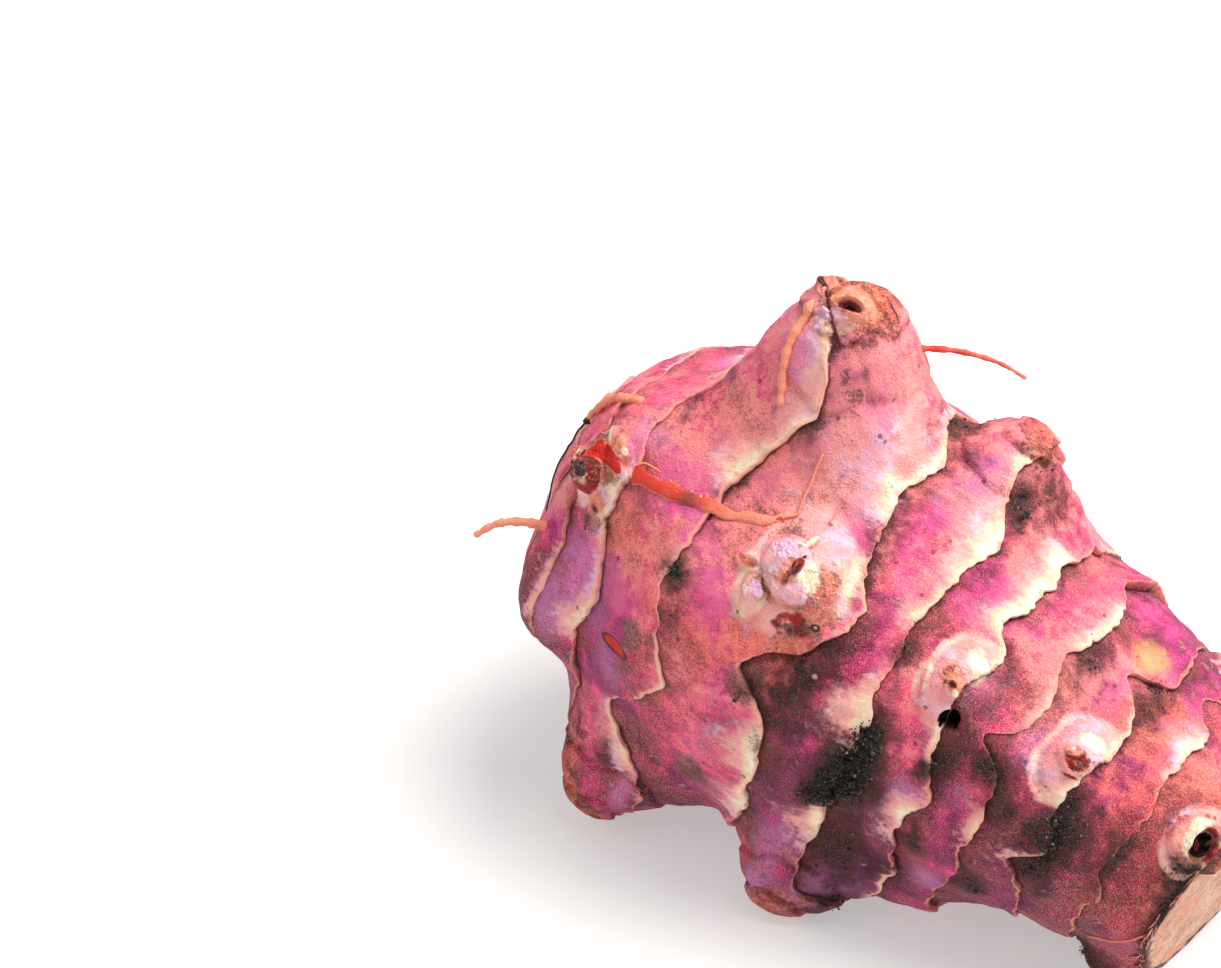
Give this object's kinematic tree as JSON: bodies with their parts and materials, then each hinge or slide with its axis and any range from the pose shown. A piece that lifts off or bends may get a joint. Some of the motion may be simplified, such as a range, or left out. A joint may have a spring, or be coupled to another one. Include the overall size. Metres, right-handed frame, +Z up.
{
  "type": "jerusalem artichoke",
  "caption": "Knobbly root tuber that tapers from a blunt bud end to a cut stalk end, with overlapping scale ridges, branch knobs, eyes and thin rootlets.",
  "frame": {"origin": "centre of the bounding box in X and Y, on the surface that the tuber rests on", "axes": "+X along the tuber from its bud end to its cut end, -Y the side that the picture shows, +Z up"},
  "size_m": [0.0858, 0.0572, 0.0664],
  "materials": {
    "skin": "pink to mauve skin, soft sheen, soil in the grooves",
    "flesh": "matt, dry cut face, pale pinkish beige with fine streaks",
    "root": "matt, reddish brown to salmon rootlets",
    "bud": "satin, lavender white to cream bud scales with corky centres",
    "soil": "matt, dark crumbs of soil"
  },
  "bodies": {
    "root": {"tuber": "skin"}
  },
  "joints": []
}
